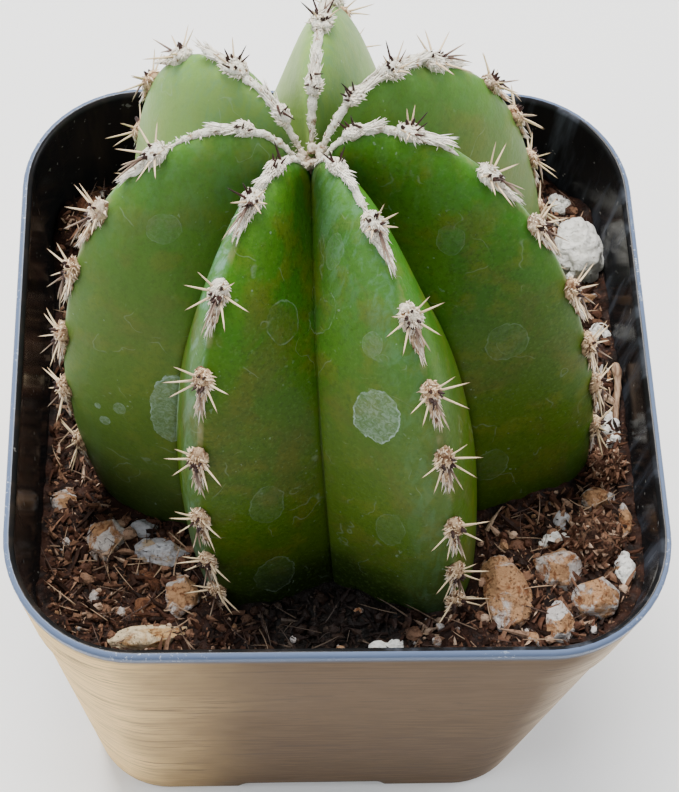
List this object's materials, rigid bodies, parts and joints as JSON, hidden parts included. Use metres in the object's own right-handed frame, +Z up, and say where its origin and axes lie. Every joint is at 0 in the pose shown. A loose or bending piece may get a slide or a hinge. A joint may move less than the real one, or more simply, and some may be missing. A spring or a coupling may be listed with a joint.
{
  "type": "potted mexican fence post cactus",
  "caption": "Young ribbed columnar cactus with woolly, spiny areoles, standing in gritty soil in a square plastic nursery pot.",
  "frame": {"origin": "middle of the pot's underside, where its feet stand", "axes": "+Z up; -Y towards the pictured front; +X to the right seen from the front"},
  "size_m": [0.0888, 0.0888, 0.1421],
  "materials": {
    "pot_plastic": "thin moulded black plastic, semi-gloss",
    "coir_soil": "damp coir and peat crumbs",
    "cactus_skin": "smooth waxy green skin",
    "areole_wool": "cream felt and wool with pale and dark spines",
    "tan_gravel": "rough tan and orange grit stone",
    "cream_pebble": "rough cream stone",
    "grey_pebble": "rough grey-white stone",
    "coir_lump": "fibrous brown coir",
    "bark_chip": "rough red-brown bark",
    "perlite": "porous white perlite"
  },
  "bodies": {
    "root": {"pot": "pot_plastic", "soil": "coir_soil", "cactus_stem": "cactus_skin", "areoles_front_left": "areole_wool", "areoles_front_right": "areole_wool", "areoles_right": "areole_wool", "areoles_back_right": "areole_wool", "areoles_back": "areole_wool", "areoles_back_left": "areole_wool", "areoles_left": "areole_wool", "areoles_crown": "areole_wool", "stone_orange_oval": "tan_gravel", "stone_wedge": "tan_gravel", "stone_grey_orange": "tan_gravel", "stone_low_middle": "tan_gravel", "stone_small_low": "tan_gravel", "stone_round_right": "tan_gravel", "stone_right_edge": "tan_gravel", "stone_yellowish": "tan_gravel", "stone_big_tan": "tan_gravel", "stone_left_edge": "tan_gravel", "stone_right_wall": "tan_gravel", "stone_back_left": "tan_gravel", "stone_long_cream": "cream_pebble", "stone_left_wall": "cream_pebble", "stone_grey_middle": "grey_pebble", "stone_under_perlite": "tan_gravel", "stone_grey_white": "grey_pebble", "stone_small_left": "grey_pebble", "stone_back_right": "grey_pebble", "coir_lump": "coir_lump", "coir_block": "coir_lump", "chip_left": "bark_chip", "chip_bark": "bark_chip", "chip_back_left": "bark_chip", "perlite_middle": "perlite", "perlite_right": "perlite", "perlite_front": "perlite", "perlite_big": "perlite", "perlite_right_back": "perlite", "perlite_right_wall": "perlite", "perlite_corner": "perlite", "perlite_back": "perlite"}
  },
  "joints": []
}
